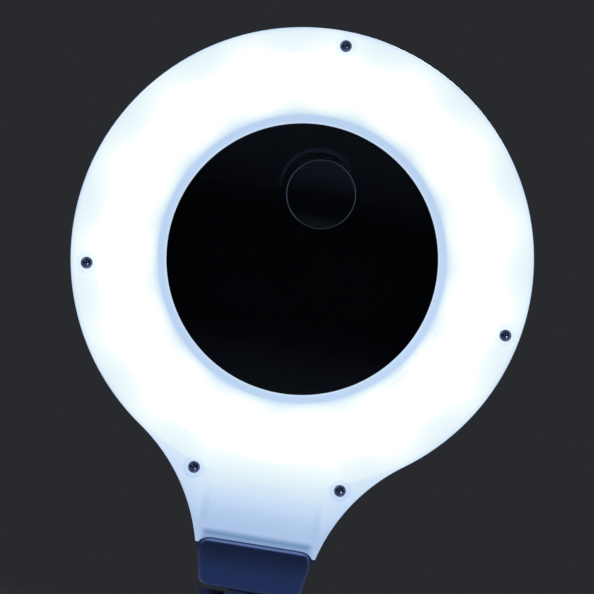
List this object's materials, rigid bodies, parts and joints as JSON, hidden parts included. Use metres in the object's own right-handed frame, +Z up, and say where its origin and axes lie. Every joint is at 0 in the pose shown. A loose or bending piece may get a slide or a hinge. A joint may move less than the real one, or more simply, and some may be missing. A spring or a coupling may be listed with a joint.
{
  "type": "magnifying lamp",
  "caption": "Desk magnifying lamp: a round lens with a small strong lens in it, in a ring of light on a two-section folding arm and a weighted round base.",
  "frame": {"origin": "on the table, under the middle of the base", "axes": "+Z up the lamp; the light and the lens face -Y; +X is to the right as seen from the lit side"},
  "size_m": [0.18, 0.18, 0.6059],
  "materials": {
    "frosted_shade": "frosted, lit from behind by cool white LEDs",
    "casing": "fine moulded texture, dark blue",
    "lid_plastic": "fine moulded texture, blue-black",
    "lens_glass": "polished",
    "circuit_board": "white solder mask",
    "black_rubber": "matt",
    "friction_washer": "smooth, self-lubricating",
    "lead": "smooth sheath",
    "socket_plastic": "moulded",
    "dark_steel": "black nickel plated",
    "bright_steel": "zinc plated",
    "arm_tube": "satin anodised",
    "ballast": "as cast"
  },
  "bodies": {
    "base": {"base_cover": "casing", "base_plate": "lid_plastic", "base_weight": "ballast", "base_pad": "black_rubber", "base_screw_1": "dark_steel", "base_screw_2": "dark_steel", "base_screw_3": "dark_steel", "power_inlet": "socket_plastic", "inlet_board": "circuit_board"},
    "turret": {"turret": "casing", "turret_bolt": "bright_steel", "turret_washer": "bright_steel", "shoulder_axle": "bright_steel", "shoulder_nut": "bright_steel", "shoulder_washer_left": "friction_washer", "shoulder_washer_right": "friction_washer"},
    "lower_arm": {"lower_arm_tube": "arm_tube", "lower_arm_tongue": "casing", "lower_arm_fork": "casing", "lower_arm_lead": "lead", "lower_arm_screw_bottom": "dark_steel", "lower_arm_screw_top": "dark_steel", "elbow_axle": "bright_steel", "elbow_nut": "bright_steel", "elbow_washer_left": "friction_washer", "elbow_washer_right": "friction_washer"},
    "upper_arm": {"upper_arm_tube": "arm_tube", "upper_arm_tongue": "casing", "upper_arm_fork": "casing", "upper_arm_lead": "lead", "upper_arm_screw_bottom": "dark_steel", "upper_arm_screw_top": "dark_steel", "head_hinge_axle": "bright_steel", "head_hinge_nut": "bright_steel", "head_hinge_washer_left": "friction_washer", "head_hinge_washer_right": "friction_washer"},
    "head": {"light_shade": "frosted_shade", "neck_cover": "casing", "head_casing": "casing", "led_board": "circuit_board", "main_lens": "lens_glass", "inset_lens": "lens_glass", "lens_gasket": "black_rubber", "switch_board": "circuit_board", "head_lead": "lead", "neck_lead": "lead", "lid_pin": "bright_steel", "shade_screw_1": "dark_steel", "shade_screw_2": "dark_steel", "shade_screw_3": "dark_steel", "shade_screw_4": "dark_steel", "shade_screw_5": "dark_steel"},
    "lid": {"lens_lid": "lid_plastic"},
    "button": {"power_button": "black_rubber"}
  },
  "joints": [
    {"name": "turret_swivel", "type": "hinge", "parent": "base", "child": "turret", "pos_m": [0, 0, 0.027], "axis": [0, 0, 1], "range_deg": [-170, 170]},
    {"name": "shoulder_hinge", "type": "hinge", "parent": "turret", "child": "lower_arm", "pos_m": [0, 0, 0.058], "axis": [1, 0, 0], "range_deg": [-50, 75]},
    {"name": "elbow_hinge", "type": "hinge", "parent": "lower_arm", "child": "upper_arm", "pos_m": [0, 0.05871, 0.2387], "axis": [1, 0, 0], "range_deg": [-50, 60]},
    {"name": "head_tilt", "type": "hinge", "parent": "upper_arm", "child": "head", "pos_m": [0, 0.02001, 0.39395], "axis": [1, 0, 0], "range_deg": [-60, 105]},
    {"name": "lid_hinge", "type": "hinge", "parent": "head", "child": "lid", "pos_m": [0, 0.03351, 0.58245], "axis": [1, 0, 0], "range_deg": [0, 120]},
    {"name": "button_press", "type": "slide", "parent": "head", "child": "button", "axis": [0, -1, 0], "range_m": [0, 0.0012], "stiffness_N_per_m": 1500, "springref_m": -0.0006}
  ]
}
